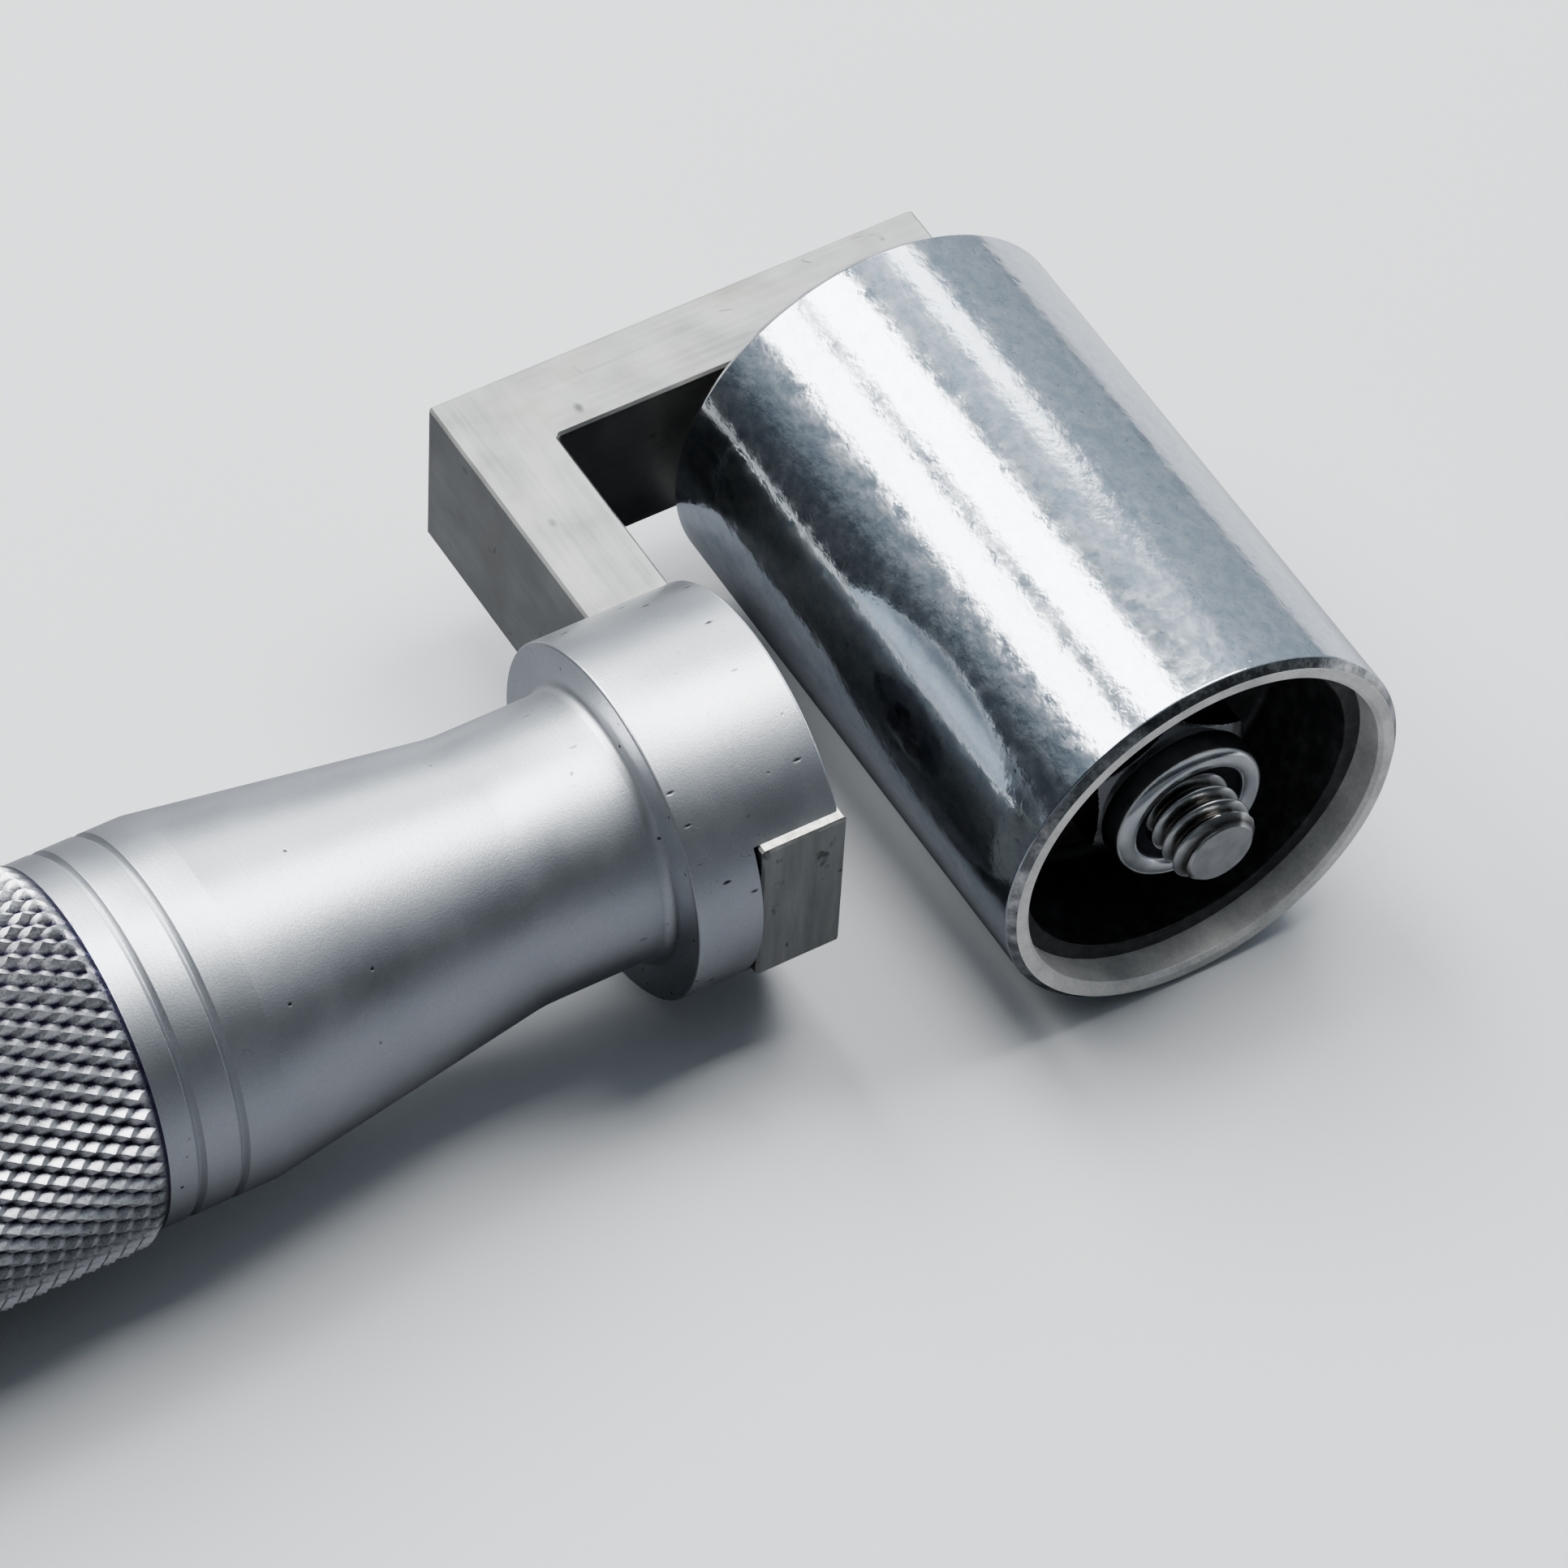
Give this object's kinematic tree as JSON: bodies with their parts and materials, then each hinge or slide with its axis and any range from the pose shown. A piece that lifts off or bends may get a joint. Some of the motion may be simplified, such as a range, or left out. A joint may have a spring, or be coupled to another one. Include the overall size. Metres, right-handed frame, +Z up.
{
  "type": "hand pressure roller",
  "caption": "Hand roller: turned handle with a diamond-knurled grip, square L bracket slotted into its collar, and a plated steel tube that spins on sealed ball bearings, held by a lock nut.",
  "frame": {"origin": "on the surface the tool lies on, under the middle of its bounding box", "axes": "+X along the handle towards the roller, +Y along the roller's axis towards the bracket's arm, +Z up"},
  "size_m": [0.1754, 0.0542, 0.0305],
  "materials": {
    "handle_alloy": "satin turned and blasted, cool light grey",
    "bar_alloy": "milled flat bar, saw-cut ends",
    "plated_tube_steel": "bright zinc plating, lightly scratched",
    "fastener_steel": "bright zinc plating",
    "bearing_steel": "ground bearing steel",
    "cage_steel": "pressed sheet steel",
    "hub_plastic": "black moulded nylon",
    "seal_rubber": "black nitrile rubber",
    "insert_nylon": "dark nylon"
  },
  "bodies": {
    "handle": {"handle_body": "handle_alloy", "bracket": "bar_alloy", "bracket_screw": "fastener_steel", "axle": "fastener_steel", "arm_spacer": "fastener_steel", "far_bearing_inner_ring": "bearing_steel", "spacer_tube": "fastener_steel", "near_bearing_inner_ring": "bearing_steel", "nut_washer": "fastener_steel", "lock_nut": "fastener_steel", "lock_nut_insert": "insert_nylon"},
    "roller": {"roller_tube": "plated_tube_steel", "near_hub": "hub_plastic", "far_hub": "hub_plastic", "near_bearing_outer_ring": "bearing_steel", "near_bearing_free_side_seal": "seal_rubber", "near_bearing_arm_side_seal": "seal_rubber", "far_bearing_outer_ring": "bearing_steel", "far_bearing_free_side_seal": "seal_rubber", "far_bearing_arm_side_seal": "seal_rubber"},
    "near_ball_set": {"near_bearing_balls": "bearing_steel", "near_bearing_ball_cage": "cage_steel"},
    "far_ball_set": {"far_bearing_balls": "bearing_steel", "far_bearing_ball_cage": "cage_steel"}
  },
  "joints": [
    {"name": "roller_spin", "type": "hinge", "parent": "handle", "child": "roller", "pos_m": [0.07243, -0.0035, 0.01524], "axis": [0, 1, 0], "continuous": true},
    {"name": "near_balls_spin", "type": "hinge", "parent": "handle", "child": "near_ball_set", "pos_m": [0.07243, -0.01196, 0.01524], "axis": [0, 1, 0], "continuous": true},
    {"name": "far_balls_spin", "type": "hinge", "parent": "handle", "child": "far_ball_set", "pos_m": [0.07243, 0.00496, 0.01524], "axis": [0, 1, 0], "continuous": true}
  ],
  "couplings": [
    {"joint": "near_balls_spin", "follows": "roller_spin", "ratio": 0.60697},
    {"joint": "far_balls_spin", "follows": "roller_spin", "ratio": 0.60697}
  ]
}
